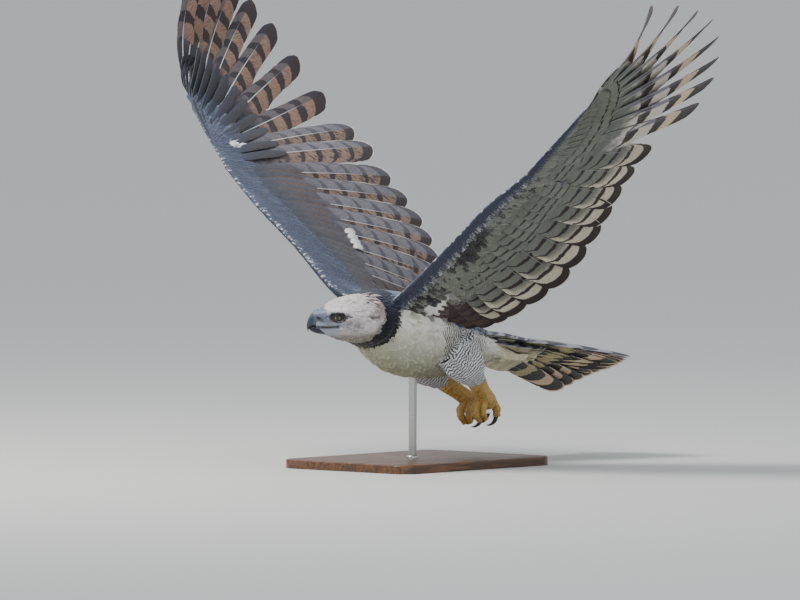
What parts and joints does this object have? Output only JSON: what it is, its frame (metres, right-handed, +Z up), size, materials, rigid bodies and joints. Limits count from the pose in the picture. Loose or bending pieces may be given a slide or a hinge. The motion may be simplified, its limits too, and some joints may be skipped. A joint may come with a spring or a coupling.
{
  "type": "flying eagle display model",
  "caption": "Life-size harpy eagle in flight with raised wings, turned head and fanned tail, held by a rod over a flat base.",
  "frame": {"origin": "centre of the underside of the stand's base, on the floor", "axes": "+Z up, -Y the way the bird's body faces, +X the bird's left"},
  "size_m": [1.4302, 0.9241, 1.0895],
  "materials": {
    "body_plumage": "soft matte feathers, white to cream with fine dark bars",
    "head_plumage": "short soft feathers, pale grey",
    "collar_plumage": "soft matte feathers, black to dark slate",
    "flight_plumage": "stiff vanes, slate above and pale with dark bars below",
    "scaled_skin": "scaled skin, satin, ochre yellow",
    "horn": "smooth dark horn, satin",
    "eye_gloss": "wet gloss",
    "stand_wood": "stained and sealed",
    "stand_steel": "brushed"
  },
  "bodies": {
    "root": {"bill_lower": "horn", "bill_upper": "horn", "claw_left_hind": "horn", "claw_left_inner": "horn", "claw_left_middle": "horn", "claw_left_outer": "horn", "claw_right_hind": "horn", "claw_right_inner": "horn", "claw_right_middle": "horn", "claw_right_outer": "horn", "eye_left": "eye_gloss", "eye_right": "eye_gloss", "head": "head_plumage", "neck": "collar_plumage", "stand_base": "stand_wood", "stand_rod": "stand_steel", "tail": "flight_plumage", "tarsus_left": "scaled_skin", "tarsus_right": "scaled_skin", "thigh_left": "body_plumage", "thigh_right": "body_plumage", "toes_left": "scaled_skin", "toes_right": "scaled_skin", "torso": "body_plumage", "wing_left_arm": "flight_plumage", "wing_left_hand": "flight_plumage", "wing_right_arm": "flight_plumage", "wing_right_hand": "flight_plumage"}
  },
  "joints": []
}
